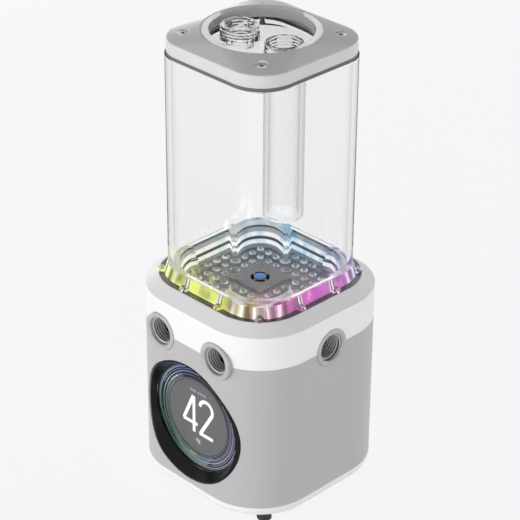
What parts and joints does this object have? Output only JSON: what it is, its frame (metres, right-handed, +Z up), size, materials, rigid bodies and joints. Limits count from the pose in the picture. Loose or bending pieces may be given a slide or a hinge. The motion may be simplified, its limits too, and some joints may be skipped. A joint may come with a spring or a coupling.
{
  "type": "coolant pump reservoir",
  "caption": "Square liquid-cooling pump with a round display, threaded side ports, a lit clear reservoir and a drop tube under a domed metal top frame.",
  "frame": {"origin": "centre of the square footprint, on the surface under the rubber feet", "axes": "+Z up along the reservoir, -Y out of the display and the two front ports, +X out of the side port"},
  "size_m": [0.0906, 0.0906, 0.2205],
  "materials": {
    "white_shell": "satin white",
    "grey_shell": "satin warm grey",
    "silver_frame": "fine bead blasted",
    "clear_acrylic": "clear polished acrylic",
    "guide_acrylic": "clear polished acrylic, lit from below",
    "black_gloss": "glossy black",
    "smoked_floor": "smoked, glossy",
    "dark_glass": "polished, tinted",
    "display_cell": "backlit display cell",
    "green_board": "solder mask",
    "white_board": "white solder mask",
    "led_package": "clear LED package",
    "steel_screw": "plain",
    "brass_post": "turned",
    "contact_metal": "plated",
    "header_plastic": "moulded",
    "foot_rubber": "soft matt",
    "seal_rubber": "soft matt",
    "pump_plastic": "machined acetal",
    "stator_steel": "laminated",
    "can_steel": "drawn",
    "copper_wire": "enamelled copper wire",
    "ceramic": "polished ceramic",
    "carbon_sleeve": "pressed carbon",
    "ferrite": "ground ferrite",
    "impeller_plastic": "moulded blue"
  },
  "bodies": {
    "unit": {"feet": "foot_rubber", "foot_screws": "steel_screw", "base_plate": "white_shell", "base_screws": "steel_screw", "chassis_posts": "brass_post", "lower_housing": "grey_shell", "shoulder_cover": "white_shell", "display_bezel": "black_gloss", "display_glass": "dark_glass", "display_panel": "display_cell", "display_board": "green_board", "display_screws": "steel_screw", "main_board": "green_board", "board_screws": "steel_screw", "header_socket": "header_plastic", "header_pins": "contact_metal", "pump_cap": "pump_plastic", "cap_screws": "steel_screw", "pump_board": "green_board", "pump_housing": "pump_plastic", "pump_screws": "steel_screw", "stator_core": "stator_steel", "stator_coils": "copper_wire", "separator_can": "can_steel", "can_seal": "seal_rubber", "bearing_post": "ceramic", "bearing_ball": "ceramic", "pump_top": "pump_plastic", "port_front_left": "silver_frame", "port_front_right": "silver_frame", "port_side": "silver_frame", "port_seals": "seal_rubber", "light_board": "white_board", "leds": "led_package", "guide_seal": "seal_rubber", "light_guide": "guide_acrylic", "trim_ring": "black_gloss", "guide_screws": "steel_screw", "floor_plate": "smoked_floor", "intake_cover": "smoked_floor", "reservoir_tube": "clear_acrylic", "top_gasket": "seal_rubber", "top_cap": "clear_acrylic", "top_frame": "silver_frame", "frame_screws": "steel_screw", "fill_port": "clear_acrylic", "return_port": "clear_acrylic", "drop_tube": "clear_acrylic"},
    "rotor": {"bearing_sleeve": "carbon_sleeve", "rotor_magnet": "ferrite", "impeller": "impeller_plastic"}
  },
  "joints": [
    {"name": "impeller_spin", "type": "hinge", "parent": "unit", "child": "rotor", "pos_m": [0, 0, 0.066], "axis": [0, 0, 1], "continuous": true}
  ]
}
